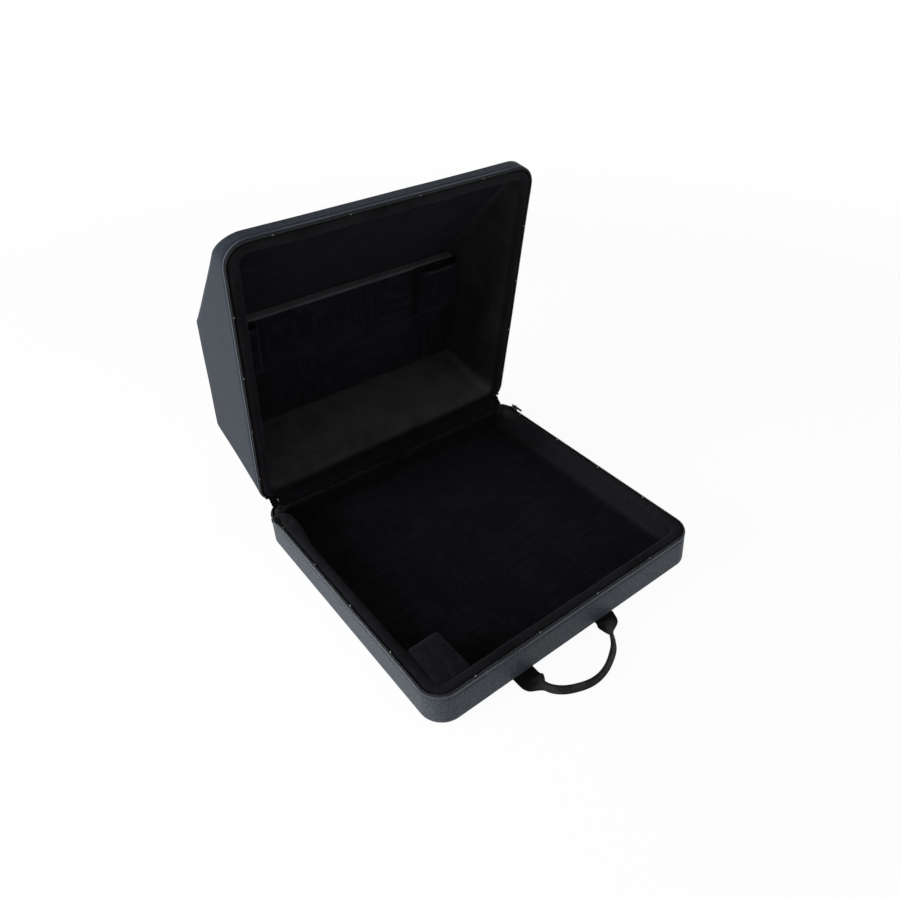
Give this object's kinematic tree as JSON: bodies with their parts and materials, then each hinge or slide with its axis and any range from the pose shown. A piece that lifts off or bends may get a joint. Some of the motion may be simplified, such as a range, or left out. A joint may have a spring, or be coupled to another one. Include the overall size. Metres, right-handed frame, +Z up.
{
  "type": "accordion case",
  "caption": "Padded cloth case with a shallow tray and a deep wedge-fronted lid, closed by a zip.",
  "frame": {"origin": "centre of the flat underside of the tray", "axes": "+X to the right seen from the front, +Y to the back where the lid is hinged, +Z up"},
  "size_m": [0.5604, 0.8073, 0.5898],
  "materials": {
    "cover_cloth": "woven",
    "foam": "matte",
    "plush": "plush",
    "plush_pad": "plush",
    "zip_tape": "woven",
    "zip_coil": "satin",
    "tack_thread": "matte",
    "zip_metal": "polished",
    "webbing": "ribbed"
  },
  "bodies": {
    "tray": {"base_shell": "foam", "base_cover": "cover_cloth", "base_lining": "plush", "base_zip_tape": "zip_tape", "base_zip_coil": "zip_coil", "base_tacks": "tack_thread", "base_corner_block": "plush_pad", "front_handle_patch_left": "webbing", "front_handle_patch_right": "webbing"},
    "lid": {"lid_shell": "foam", "lid_cover": "cover_cloth", "lid_lining": "plush", "lid_zip_tape": "zip_tape", "lid_zip_coil": "zip_coil", "lid_tacks": "tack_thread", "lid_top_pad": "plush_pad", "lid_pocket_left": "plush_pad", "lid_pocket_right": "plush_pad", "lid_handle_patch_left": "webbing", "lid_handle_patch_right": "webbing", "zip_stop_left": "zip_metal", "zip_stop_right": "zip_metal", "hinge_band": "cover_cloth", "hinge_lining": "plush", "hinge_gusset_left": "plush", "hinge_gusset_right": "plush"},
    "front_handle_body": {"front_handle": "webbing"},
    "lid_handle_body": {"lid_handle": "webbing"},
    "slider_left": {"zip_slider_left": "zip_metal"},
    "slider_right": {"zip_slider_right": "zip_metal"},
    "pull_left": {"zip_pull_left": "zip_metal"},
    "pull_right": {"zip_pull_right": "zip_metal"}
  },
  "joints": [
    {"name": "lid_hinge", "type": "hinge", "parent": "tray", "child": "lid", "pos_m": [0, 0.266, 0.063], "axis": [1, 0, 0], "range_deg": [0, 78.9], "deforming": ["hinge_band", "hinge_lining", "hinge_gusset_left", "hinge_gusset_right"]},
    {"name": "front_handle_hinge", "type": "hinge", "parent": "tray", "child": "front_handle_body", "pos_m": [-0.03, -0.2723, 0.0013], "axis": [-1, 0, 0], "range_deg": [0, 60]},
    {"name": "lid_handle_hinge", "type": "hinge", "parent": "lid", "child": "lid_handle_body", "pos_m": [0.03, 0.2227, 0.56258], "axis": [1, 0, 0], "range_deg": [0, 100]},
    {"name": "slider_left_slide", "type": "slide", "parent": "tray", "child": "slider_left", "axis": [0, -1, 0], "range_m": [0, 0.43]},
    {"name": "slider_right_slide", "type": "slide", "parent": "tray", "child": "slider_right", "axis": [0, -1, 0], "range_m": [0, 0.43]},
    {"name": "pull_left_hinge", "type": "hinge", "parent": "slider_left", "child": "pull_left", "pos_m": [-0.2785, 0.2205, 0.063], "axis": [0, 0, -1], "range_deg": [0, 165]},
    {"name": "pull_right_hinge", "type": "hinge", "parent": "slider_right", "child": "pull_right", "pos_m": [0.2785, 0.2205, 0.063], "axis": [0, 0, 1], "range_deg": [0, 165]}
  ]
}
